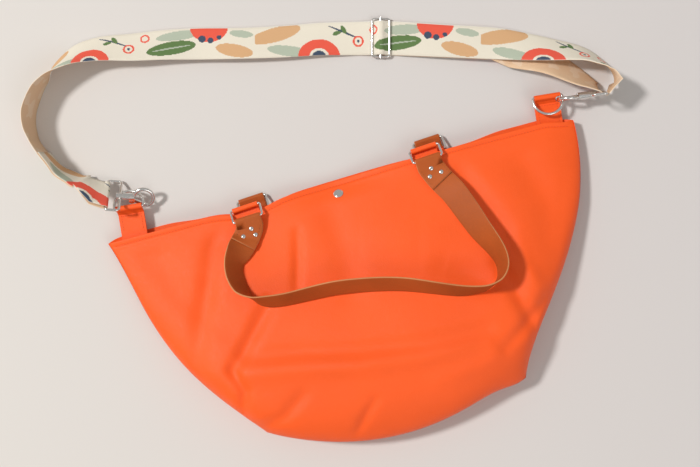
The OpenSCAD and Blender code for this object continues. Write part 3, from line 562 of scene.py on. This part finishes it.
def grip_stations():
    """Base centre, width direction and normal along the front handle, ring to ring."""
    surface = plain_front()
    ends = [FRONT_B + side * REACH * HINGE + 9 * INWARD for side in (-1, 1)]
    rows = [[ends[0][0], ends[0][1], 0]] + GRIP + [[ends[1][0], ends[1][1], 0]]
    g = smooth_line(rows, 2)
    n = len(g)
    plan = g[:, :2]
    d = np.array([unit(plan[min(n - 1, i + 1)] - plan[max(0, i - 1)]) for i in range(n)])
    k = np.minimum(1, np.minimum(np.arange(n), n - 1 - np.arange(n)) / 5)[:, None]
    o = np.stack([d[:, 1], -d[:, 0], 0 * d[:, 0]], -1)
    h = np.where(np.arange(n)[:, None] < n / 2, -HINGE, HINGE)
    o = unit(o * k + h * (1 - k))
    roll = np.radians(g[:, 2])[:, None]
    w = o * np.cos(roll) * GRIP_W / 2
    lift = (np.sin(roll) * GRIP_W / 2)[:, 0]
    p = np.concatenate([plan, np.zeros((n, 1))], 1)
    top = np.max([height_at(p - w, surface) + lift, height_at(p, surface),
                  height_at(p + w, surface) - lift], axis=0) + 0.9
    top += np.where(g[:, 2] > 90, -np.cos(roll[:, 0]) * GRIP_T, 0)
    p[:, 2] = np.maximum(top, FRONT_B[2] - BORE - GRIP_T)
    width = unit(np.cos(roll) * o + np.sin(roll) * [0, 0, 1])
    rows = np.concatenate([p, width], 1)
    fine = smooth_line(rows, 5)
    p, width = fine[:, :3], unit(fine[:, 3:])
    return p, width, unit(np.cross(width, np.gradient(p, axis=0)))


def band(p, width, normal, w, t, ring=20):
    """A strip with softly rounded edges. Gives its grid, and which faces of a ring are cut edges."""
    a = np.linspace(0, 2 * np.pi, ring, endpoint=False) + np.pi / ring
    ca, sa = np.cos(a), np.sin(a)
    x = np.sign(ca) * np.abs(ca) ** 0.14 * w / 2
    y = np.sign(sa) * np.abs(sa) ** 0.4 * t / 2 + t / 2
    x = np.where(np.abs(ca) < 0.55, ca / 0.55 * w / 2 * 0.97, x)
    g = p[:, None, :] + x[None, :, None] * width[:, None, :] + y[None, :, None] * normal[:, None, :]
    return g, np.abs((x + np.roll(x, -1)) / 2) > w / 2 * 0.975


def tube_piece(name, g, body, mats, edge, values=None):
    """A closed strip from rings of points, its cut edges in the second material."""
    r, c = g.shape[:2]
    faces = [tuple(f) for f in grid_faces(r, c, close=True)]
    faces += [tuple(range(c - 1, -1, -1)), tuple((r - 1) * c + np.arange(c))]
    which = np.tile(edge, r - 1).astype(int).tolist() + [1, 1]
    v = g.reshape(-1, 3)
    centre = v.mean(0)
    vol = sum(np.dot(v[f[0]] - centre, np.cross(v[f[1]] - centre, v[f[2]] - centre))
              + np.dot(v[f[0]] - centre, np.cross(v[f[2]] - centre, v[f[3]] - centre))
              for f in faces[:r * c - c])
    if vol < 0:
        faces = [f[::-1] for f in faces]
    return new_piece(name, v, faces, body, mats, which, values)


def turn_round(b, inward, a0, a1, n):
    """Stations round a ring bar, from angle a0 to a1, measured from inward towards Z."""
    a = np.radians(np.linspace(a0, a1, n))
    out = np.cos(a)[:, None] * inward + np.sin(a)[:, None] * [0, 0, 1]
    return b + BORE * out, out


def facing(v, way):
    """Unit vectors along v, turned to the side that way points to."""
    return np.where((v * way).sum(1, keepdims=True) > 0, 1, -1) * unit(v)


# Side tabs: place of the D-ring's bar, its heading, the tab's drop and run; and half the seams' width
SIDE_TABS = ((np.array([-238.3, 30.5, 19]), -5.5, 8.65, 29),
             (np.array([262, 32.5, 18]), -5.4, 7.85, 31))
TAB_SEAM = 11.5

# The strap's line, as in the CAD: plan points, lean of the high edge, and lift of the low edge
STRAP_W, STRAP_T = 40.0, 1.3
RUN = [[-281.6, 72, -2, -17, 6.5], [-290.3, 77.6, 4, -17, 4.5], [-304.8, 91.5, 5, -18, 2],
       [-314.5, 109.4, 3, -14, 0.6], [-322.9, 129.5, 2, -11.5, 0.6], [-325.2, 145.6, -3, -9, 0.6],
       [-323.7, 159.4, -5.4, -4, 0.6], [-318.7, 171.7, -5.8, -1, 0.6], [-305.1, 189.6, -4, -1.2, 0.6],
       [-293.8, 198.6, 2, -2, 0.6], [-282.1, 207.2, 12, -10, 0.6], [-264.7, 214.7, 20, -17, 0.6],
       [-247.5, 218.6, 15, -27, 0.6], [-222.9, 217.5, 4, -33, 0.6], [-190.1, 210.9, -2, -35.6, 0.6],
       [-152, 204.4, -7, -37, 0.6], [-112.4, 195.8, -8.5, -38, 0.6], [-66.8, 184.4, -8.5, -37.6, 0.6],
       [-21.1, 174.5, -9, -37.9, 0.6], [24.9, 166.2, -9.8, -38.3, 0.8]]
OVER = [[134.7, 137.2, -13, -37.7, 1.95], [168.8, 126, -15.9, -36.2, 1.95],
        [221.7, 109, -21, -33, 1.9], [253.7, 96.2, -23, -28.2, 1.2], [284.6, 83.4, -24.5, -20.5, 0.6],
        [306.9, 74, -22.6, -15.5, 0.6], [318.4, 67.4, -19.6, -11.8, 0.6], [329, 57.6, -16.1, -7.5, 1.8],
        [336.7, 48.4, -13, -4, 3.5], [340.2, 37.9, -8, -4.5, 6], [340, 28.5, -2, -6.5, 9]]
UNDER = [[315.5, 30.5, -14, -10, 8.5], [307.5, 39.5, -19, -13.5, 5.5], [298.5, 50, -22, -17, 2.5],
         [289.5, 60, -23.5, -20, 0.6], [279.5, 69.5, -23, -24, 0.6], [269, 78, -22.6, -28, 0.6],
         [257, 85.5, -22, -31, 0.5], [241, 94, -21.5, -33, 0.4]]
LEFT_O, RIGHT_O = np.array([-219.61, 37.79, 14.68]), np.array([284.99, 25.23, 19.94])
BAIL = -42.0
WRAP_R = 1.75
SLIDE_O = np.array([94.1, 149.4, 0])
SLIDE_X = unit([0.967, -0.254, 0])
SLIDE_Y = np.array([-SLIDE_X[1], SLIDE_X[0], 0])
SLIDE_Z = 0.3 + 2 * STRAP_T + 0.45 + 1.5
LOW_Z = 0.6 + STRAP_T
TOP_Z = SLIDE_Z + 1.2 + 0.15 + STRAP_T + 0.15


def aim(az, el):
    """Unit vector at an azimuth and elevation in degrees."""
    az, el = math.radians(az), math.radians(el)
    return np.array([math.cos(el) * math.cos(az), math.cos(el) * math.sin(az), math.sin(el)])


def square_to(v, x):
    """Unit vector nearest to v at right angles to x."""
    v = np.asarray(v, float)
    return unit(v - v.dot(x) * x)


LEFT_X, RIGHT_X = aim(-18, -10.8), aim(172, -10.8)
LEFT_B, RIGHT_B = square_to([-0.37, -0.61, 0.7], LEFT_X), square_to([0, -0.15, 0.99], RIGHT_X)


def leaning(rows, m):
    """Middle line and width direction of a run of strap standing on its low edge."""
    q = np.array(rows, float)
    high = np.sqrt(np.maximum(4, STRAP_W ** 2 - q[:, 2] ** 2 - q[:, 3] ** 2))
    mid = np.stack([q[:, 0], q[:, 1], q[:, 4] + high / 2], -1)
    lean = unit(np.stack([q[:, 2], q[:, 3], high], -1))
    fine = smooth_line(np.concatenate([mid, lean], 1), m)
    return np.concatenate([fine[:, :3], unit(fine[:, 3:])], 1)


def frames(path, t):
    """Station frames, lifted where they would cut the table."""
    p, w = path[:, :3].copy(), path[:, 3:]
    d = unit(np.gradient(p, axis=0))
    w = unit(w - (w * d).sum(1, keepdims=True) * d)
    n = unit(np.cross(w, d))
    low = p[:, 2] - np.abs(w[:, 2]) * STRAP_W / 2 + np.minimum(0, n[:, 2] * t)
    p[:, 2] += np.maximum(0, 0.25 - low)
    return p, w, n


def wrapped(c, x, bar, start, stop, n, d):
    """Stations round a bail's bar at c, from start to stop degrees, with straight ends of length d."""
    s = np.cross(bar, x)

    def spot(a, e):
        a = math.radians(a)
        return np.concatenate([c + WRAP_R * (-math.cos(a) * x + math.sin(a) * s)
                               + e * (math.sin(a) * x + math.cos(a) * s), bar])
    return np.array([spot(start, -d), spot(start, -d * 0.35)]
                    + [spot(start + (stop - start) * k / n, 0) for k in range(n + 1)]
                    + [spot(stop, d * 0.35), spot(stop, d)])


def strap_line():
    """The whole strap: tail, left bail, pattern run, slider, right bail, under layer, slider bar."""
    run, over = leaning(RUN, 6), leaning(OVER, 6)
    _, _, rn = frames(run, 0)
    _, _, on = frames(over, 0)
    tail = np.concatenate([run[20::-1, :3] - 0.35 * rn[20::-1], run[20::-1, 3:]], 1)
    back = np.concatenate([over[12::-1, :3] - 0.3 * on[12::-1], over[12::-1, 3:]], 1)
    hump = [[-26, 0.7], [-16, LOW_Z], [-10.6, LOW_Z], [-8.8, LOW_Z + 0.25], [-2.6, TOP_Z - 0.7],
            [-1.2, TOP_Z], [1.2, TOP_Z], [2.6, TOP_Z - 0.7], [8.8, LOW_Z + 0.25], [10.6, LOW_Z],
            [16, LOW_Z]]
    slide = [np.concatenate([SLIDE_O + x * SLIDE_X + [0, 0, z], -SLIDE_Y]) for x, z in hump]
    under = [np.concatenate([SLIDE_O + x * SLIDE_X + [0, 0, LOW_Z - 0.3], -SLIDE_Y])
             for x in (16, 10.6, 7)]
    curl = [np.concatenate([SLIDE_O + 1.35 * math.cos(math.radians(a)) * SLIDE_X
                            + [0, 0, SLIDE_Z + 1.35 * math.sin(math.radians(a))], -SLIDE_Y])
            for a in range(-75, -321, -15)]
    left = wrapped(LEFT_O + BAIL * LEFT_X, LEFT_X, LEFT_B, 100, 280, 18, 10)
    right = wrapped(RIGHT_O + BAIL * RIGHT_X, RIGHT_X, RIGHT_B, 46, 132, 10, 7)
    return np.vstack([tail, left, run, slide, over, right, leaning(UNDER, 4), back, under, curl])


def paint(obj, mat):
    """Gives a CAD piece its finish through its object slots, so its mesh stays as it is."""
    for k in range(max(1, len(obj.material_slots))):
        if not obj.material_slots:
            obj.data.materials.append(mat)
        obj.material_slots[k].link = "OBJECT"
        obj.material_slots[k].material = mat


class TrapezeBagSettings(bpy.types.PropertyGroup):
    fold_depth: FloatProperty(
        name="Fold depth", description="Strength of the front folds, 1 as in the photo",
        default=1.0, min=0.0, max=2.0)
    hem: FloatProperty(
        name="Hem", description="Distance of the mouth stitching from the edge",
        default=0.0055, unit="LENGTH")
    stitch: FloatProperty(
        name="Stitch", description="Pitch of the stitching", default=0.0036, unit="LENGTH")
    orange: FloatVectorProperty(
        name="Orange leather", description="Colour of the shell", subtype="COLOR",
        default=(1.0, 0.112, 0.012), min=0, max=1)
    brown: FloatVectorProperty(
        name="Brown leather", description="Colour of the handles", subtype="COLOR",
        default=(0.46, 0.1, 0.02), min=0, max=1)
    repeat: FloatProperty(
        name="Pattern scale", description="Size of the woven pattern", default=1.0,
        min=0.5, max=2.0)


class TRAPEZEBAG_OT_shell(bpy.types.Operator):
    """Builds the front and back of the bag, with folds, hem and stitching, and hides the CAD's facings
    """

    bl_idname = "trapezebag.shell"
    bl_label = "Shell"

    def execute(self, context):
        cfg = context.scene.trapeze_bag
        orange = orange_leather(cfg)
        s = (1 + np.sin(np.linspace(-np.pi / 2, np.pi / 2, 261))) / 2
        t = np.concatenate([np.linspace(0, 0.05, 26), np.linspace(0.056, 0.965, 150),
                            1 - 0.033 * np.linspace(1, 0, 16) ** 2])
        gs, gt = np.meshgrid(s, t)
        top = wrinkled(front_point(gs, gt), gs, gt, cfg.fold_depth)
        inset = (front_point(gs, 0 * gt)[..., 1] - top[..., 1])
        hem = cfg.hem * 1000
        fade = ease((1 - np.abs(2 * gs - 1)) / 0.03)
        top[..., 2] += fade * (0.55 * bump(inset, 1.2, 2.2) - 0.5 * bump(inset, hem, 0.9)
                               + 0.25 * bump(inset, hem + 2.5, 2))
        v, f = sheet_solid(top, top - [0, 0, SHELL])
        front = new_piece("shell_front", v, f, "bag", [orange])
        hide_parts("front_panel", "front_facing")
        s2 = (1 + np.sin(np.linspace(-np.pi / 2, np.pi / 2, 121))) / 2
        t2 = np.concatenate([np.linspace(0, 0.05, 12), np.linspace(0.06, 0.97, 60),
                             1 - 0.028 * np.linspace(1, 0, 14) ** 2])
        hs, ht = np.meshgrid(s2, t2)
        out = back_point(hs, ht)
        v, f = sheet_solid(out + [0, 0, SHELL], out)
        back = new_piece("shell_back", v, f, "bag", [orange])
        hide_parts("back_panel", "back_facing")
        nor = normals_of(top)
        k = [int(np.argmin(np.abs(inset[:, j] - hem))) for j in range(len(s))]
        keep = np.abs(2 * s - 1) < 0.985
        pts = np.array([top[k[j], j] for j in range(len(s))])[keep]
        ups = np.array([nor[k[j], j] for j in range(len(s))])[keep]
        ups = np.where(ups[:, 2:] < 0, -ups, ups)
        row = (pts + [0, 0, SINK], ups, cfg.stitch * 1000, cfg.stitch * 640)
        thread("mouth_stitching", [row], "bag", cotton("orange_thread", ORANGE_THREAD), 0.3)
        return {"FINISHED"}


class TRAPEZEBAG_OT_handles(bpy.types.Operator):
    """Builds both handles as rounded leather strips turned round their rings"""

    bl_idname = "trapezebag.handles"
    bl_label = "Handles"

    def execute(self, context):
        cfg = context.scene.trapeze_bag
        brown, edge = brown_leather(cfg), edge_leather()
        p, w, n = grip_stations()
        parts = []
        for side, lap in ((-1, LAP_LEFT), (1, LAP_RIGHT)):
            ring_p, ring_n = turn_round(FRONT_B + side * REACH * HINGE, INWARD, 262, 98, TURN)
            i = np.arange(1, lap) if side < 0 else len(p) - 1 - np.arange(1, lap)
            lift = GRIP_T + LAY + SPRING * np.linspace(1, 0, len(i))[:, None]
            parts.append((ring_p, ring_n, p[i] + n[i] * lift, w[i], n[i]))
        (lp, ln, lf, lfw, lfn), (rp, rn, rf, rfw, rfn) = parts
        path_p = np.vstack([lf[::-1], lp[::-1], p + n * GRIP_T, rp, rf])
        path_w = np.vstack([lfw[::-1], np.tile(lfw[0], (TURN, 1)), w, np.tile(rfw[0], (TURN, 1)), rfw])
        path_n = np.vstack([lfn[::-1], ln[::-1], -n, rn, rfn])
        d = unit(np.gradient(path_p, axis=0))
        path_w = unit(path_w - (path_w * d).sum(1, keepdims=True) * d)
        path_n = facing(np.cross(path_w, d), path_n)
        g, cut = band(path_p, path_w, path_n, GRIP_W, GRIP_T)
        piece = tube_piece("front_handle_strip", g, "front_grip", [brown, edge], cut)
        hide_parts("front_handle")
        runs = [(q + m * (GRIP_T + 0.02) + v * (GRIP_W / 2 - 2.4) * side, m, 3.4, 2.1)
                for q, v, m in ((lf, lfw, lfn), (rf, rfw, rfn)) for side in (-1, 1)]
        thread("front_handle_stitching", runs, "front_grip", cotton("brown_thread", BROWN_THREAD), 0.2)
        heads = []
        for side, lay, ups in (("left", lf, lfn), ("right", rf, rfn)):
            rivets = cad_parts["front_%s_rivets" % side]
            spots = np.array([rivets.matrix_world @ q.co for q in rivets.data.vertices]) * 1000
            spots -= [0, REST_Y, 0]
            while len(spots):
                same = np.linalg.norm(spots - spots[0], axis=1) < RIVET_SPAN
                c = spots[same].mean(0)
                spots = spots[~same]
                k = int(np.argmin(np.linalg.norm(lay - c, axis=1)))
                heads.append((c + ups[k] * ((lay[k] - c) @ ups[k] + GRIP_T - SINK), ups[k]))
        rivet_heads("front_rivet_heads", heads, "front_grip")
        self.back(brown, edge)
        return {"FINISHED"}

    def back(self, brown, edge):
        """The back handle lies flat under the bag."""
        q, deep = BACK_LOOP_R, BACK_LOOP
        quarter = np.linspace(0, math.pi / 2, 10)[1:]
        line = [[-REACH, y] for y in (-4, -30, -60, -90, q - deep)]
        line += [[-REACH + q - q * math.cos(a), q - deep - q * math.sin(a)] for a in quarter]
        line += [[x, -deep] for x in np.linspace(-REACH + q, REACH - q, 12)[1:]]
        line += [[REACH - q + q * math.sin(a), q - deep - q * math.cos(a)] for a in quarter]
        line += [[REACH, y] for y in (-90, -60, -30, -4)]
        flat = np.array(line)
        base = np.array([BACK_B[0], BACK_B[1], REST_Z])
        p = base + flat[:, :1] * HINGE + flat[:, 1:] * -INWARD
        d = unit(np.gradient(p, axis=0))
        w = np.stack([-d[:, 1], d[:, 0], 0 * d[:, 0]], -1)
        up = np.array([0, 0, 1.0])
        lap = np.linspace(-5, -30, 8)[:, None]
        steps = 12
        (lp, ln, lf), (rp, rn, rf) = [
            turn_round(BACK_B + side * REACH * HINGE, -INWARD, -88, 88, steps)
            + (base + (BACK_T + 0.02) * up + side * REACH * HINGE + lap * -INWARD,) for side in (-1, 1)]
        ends, lap_up = len(lap) + steps, np.tile(up, (len(lap), 1))
        pp = np.vstack([lf[::-1], lp[::-1], p + up * BACK_T, rp, rf])
        ww = np.vstack([np.tile(w[0], (ends, 1)), w, np.tile(w[-1], (ends, 1))])
        nn = np.vstack([lap_up, ln[::-1], np.tile(-up, (len(p), 1)), rn, lap_up])
        nn = facing(np.cross(ww, unit(np.gradient(pp, axis=0))), nn)
        g, cut = band(pp, ww, nn, GRIP_W, BACK_T)
        piece = tube_piece("back_handle_strip", g, "back_grip", [brown, edge], cut)
        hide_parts("back_handle")


class TRAPEZEBAG_OT_strap(bpy.types.Operator):
    """Builds the woven shoulder strap along its whole way through both bails and the slider"""

    bl_idname = "trapezebag.strap"
    bl_label = "Strap"

    def execute(self, context):
        cfg = context.scene.trapeze_bag
        p, w, n = frames(strap_line(), STRAP_T)
        seg = np.concatenate([[0], np.cumsum(np.linalg.norm(np.diff(p, axis=0), axis=1))])
        ring = 24
        a = np.linspace(-1, 1, 11)
        half, flat = STRAP_W / 2, a * (STRAP_W / 2 - 0.5)
        x = np.concatenate([flat, [half], flat[::-1], [-half]])
        y = np.concatenate([0 * a, [STRAP_T / 2], 0 * a + STRAP_T, [STRAP_T / 2]])
        g = p[:, None, :] + x[None, :, None] * w[:, None, :] + y[None, :, None] * n[:, None, :]
        along = np.repeat(seg[:, None], ring, 1)
        across = np.repeat(x[None, :], len(p), 0)
        lower = np.array([(y[k] + y[(k + 1) % ring]) / 2 < STRAP_T * 0.4 for k in range(ring)])
        piece = tube_piece("woven_strap", g, "bag", [webbing(cfg), webbing_back()],
                           lower, {"along": along, "across": across})
        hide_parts("strap")
        return {"FINISHED"}


class TRAPEZEBAG_OT_finishes(bpy.types.Operator):
    """Gives the tabs, rings, hooks, rivets, snap and slider their finishes, and stitches the tabs"""

    bl_idname = "trapezebag.finishes"
    bl_label = "Tabs and hardware"

    def execute(self, context):
        cfg = context.scene.trapeze_bag
        orange = orange_leather(cfg)
        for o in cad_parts.values():
            name = o.name
            if "tab" in name:
                paint(o, orange)
            elif "gate" in name or "pin" in name:
                paint(o, steel())
            elif "facing" in name or name in ("front_handle", "back_handle"):
                paint(o, brown_leather(cfg))
            elif "panel" in name:
                paint(o, orange)
            elif name == "strap":
                paint(o, webbing(cfg))
            else:
                paint(o, nickel())
        runs = []
        for o, az, drop, run in SIDE_TABS:
            ax = aim(az, 0)
            inn = np.array([ax[1], -ax[0], 0])
            u = np.array([5, 7, 12, 18, 24, run])
            z = np.interp(u, [3, 7, run], [-1, 2.1 - drop, 1.5 - drop]) + 0.05
            up = np.tile([0, 0, 1.0], (6, 1))
            for m in (-1, 1):
                side = o + u[:, None] * inn + z[:, None] * [0, 0, 1] + m * ax * TAB_SEAM
                runs.append((side, up, 3.2, 2.1))
            v = np.linspace(-TAB_SEAM, TAB_SEAM, 6)
            runs.append((o + inn * 9 + [0, 0, 2.1 - drop - 0.02] + v[:, None] * ax, up, 3.2, 2.1))
        thread("side_tab_stitching", runs, "bag", cotton("orange_thread", ORANGE_THREAD), 0.3)
        return {"FINISHED"}


class TRAPEZEBAG_OT_stage(bpy.types.Operator):
    """Lays the table, the lights and the camera of the photo"""

    bl_idname = "trapezebag.stage"
    bl_label = "Stage"

    def execute(self, context):
        scene = context.scene
        n = Nodes("pale_table")
        x = n.add("ShaderNodeSeparateXYZ", {0: n.where()}).outputs[0]
        # painted light: the table colour fades from lighter on the left, where the key light falls, to
        # darker on the right
        tone = n.mix(n.span(x, -0.45, 0.45), TABLE_LIT_LEFT, TABLE_SHADED_RIGHT)
        table = n.finish(tone, 0.9, 0.0, 0.2)
        mesh = bpy.data.meshes.new("table_top")
        corners = [(i * TABLE_HALF, j * TABLE_HALF, 0) for i, j in ((-1, -1), (1, -1), (1, 1), (-1, 1))]
        mesh.from_pydata(corners, [], [(0, 1, 2, 3)])
        mesh.materials.append(table)
        floor = bpy.data.objects.new("table_top", mesh)
        scene.collection.objects.link(floor)
        world = bpy.data.worlds.new("soft_room")
        world.use_nodes = True
        back = world.node_tree.nodes["Background"]
        back.inputs["Color"].default_value = ROOM
        back.inputs["Strength"].default_value = ROOM_STRENGTH
        scene.world = world
        for name, way, far, size, watts in LAMPS:
            lamp = bpy.data.lights.new(name, "AREA")
            lamp.shape = "DISK"
            lamp.size = size
            lamp.energy = watts
            obj = bpy.data.objects.new(name, lamp)
            obj.location = AIMED + Vector(way).normalized() * far
            obj.rotation_euler = (AIMED - obj.location).to_track_quat("-Z", "Y").to_euler()
            scene.collection.objects.link(obj)
        cam = bpy.data.cameras.new("camera")
        cam.lens = LENS
        cam.sensor_width = 36.0
        cam.clip_end = 50
        obj = bpy.data.objects.new("camera", cam)
        obj.matrix_world = Matrix.Translation(CAMERA_AT) @ Matrix.Rotation(CAMERA_TURN, 4, "Z")
        scene.collection.objects.link(obj)
        scene.camera = obj
        scene.view_settings.view_transform = "Standard"
        return {"FINISHED"}


class TRAPEZEBAG_PT_panel(bpy.types.Panel):
    """Settings and steps of the trapeze bag"""

    bl_idname = "TRAPEZEBAG_PT_panel"
    bl_label = "Trapeze bag"
    bl_space_type = "VIEW_3D"
    bl_region_type = "UI"
    bl_category = "Trapeze bag"

    def draw(self, context):
        cfg = context.scene.trapeze_bag
        for key in ("fold_depth", "hem", "stitch", "orange", "brown", "repeat"):
            self.layout.prop(cfg, key)
        for op in STEPS:
            self.layout.operator(op.bl_idname)


STEPS = (TRAPEZEBAG_OT_shell, TRAPEZEBAG_OT_handles, TRAPEZEBAG_OT_strap, TRAPEZEBAG_OT_finishes,
         TRAPEZEBAG_OT_stage)
CLASSES = (TrapezeBagSettings,) + STEPS + (TRAPEZEBAG_PT_panel,)


def register():
    for c in CLASSES:
        bpy.utils.register_class(c)
    bpy.types.Scene.trapeze_bag = PointerProperty(type=TrapezeBagSettings)


def unregister():
    del bpy.types.Scene.trapeze_bag
    for c in reversed(CLASSES):
        bpy.utils.unregister_class(c)


def main():
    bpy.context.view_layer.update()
    register()
    for name in ("shell", "handles", "strap", "finishes", "stage"):
        if getattr(bpy.ops.trapezebag, name)() != {"FINISHED"}:
            raise RuntimeError(name + " failed")


if __name__ == "__main__":
    main()
